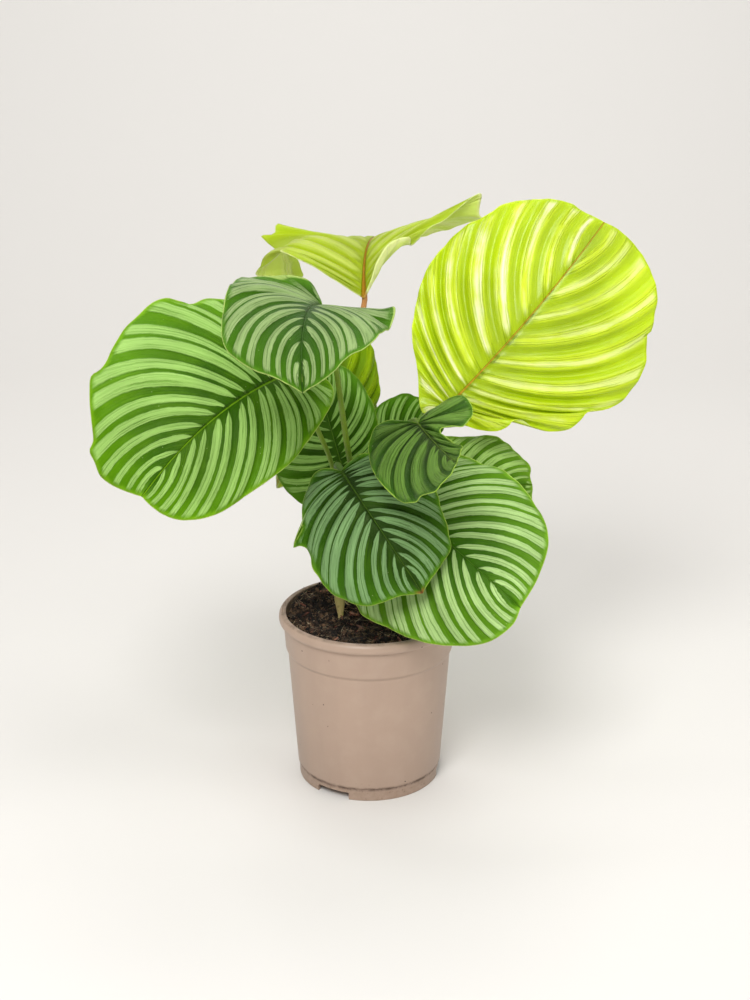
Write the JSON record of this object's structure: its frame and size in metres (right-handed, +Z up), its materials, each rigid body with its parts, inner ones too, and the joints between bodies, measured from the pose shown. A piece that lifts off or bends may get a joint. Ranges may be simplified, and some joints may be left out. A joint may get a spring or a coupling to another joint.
{
  "type": "potted calathea",
  "caption": "Prayer plant with broad striped pleated leaves on slender stems, in a round tapered plastic nursery pot filled with soil.",
  "frame": {"origin": "centre of the pot's underside, on the pad that is level with its foot", "axes": "+Z up; -Y towards the side that is looked at; +X to the viewer's right"},
  "size_m": [0.3537, 0.3219, 0.3788],
  "materials": {
    "pot": "satin moulded taupe plastic",
    "soil": "loose dark peat with bits of bark",
    "rhizome": "pale fleshy root crown",
    "stem": "smooth yellow-green leaf stalk",
    "leaf": "satin green leaf with dark bands along its veins"
  },
  "bodies": {
    "root": {"pot": "pot", "soil": "soil", "rhizome": "rhizome", "stem_left_large": "stem", "blade_left_large": "leaf", "stem_front_upper": "stem", "blade_front_upper": "leaf", "stem_right_large": "stem", "blade_right_large": "leaf", "stem_top": "stem", "blade_top": "leaf", "stem_back_upper": "stem", "blade_back_upper": "leaf", "stem_back_left": "stem", "blade_back_left": "leaf", "stem_back_low": "stem", "blade_back_low": "leaf", "stem_back_centre": "stem", "blade_back_centre": "leaf", "stem_curled": "stem", "blade_curled": "leaf", "stem_right_mid": "stem", "blade_right_mid": "leaf", "stem_right_low": "stem", "blade_right_low": "leaf", "stem_front_centre": "stem", "blade_front_centre": "leaf"}
  },
  "joints": []
}
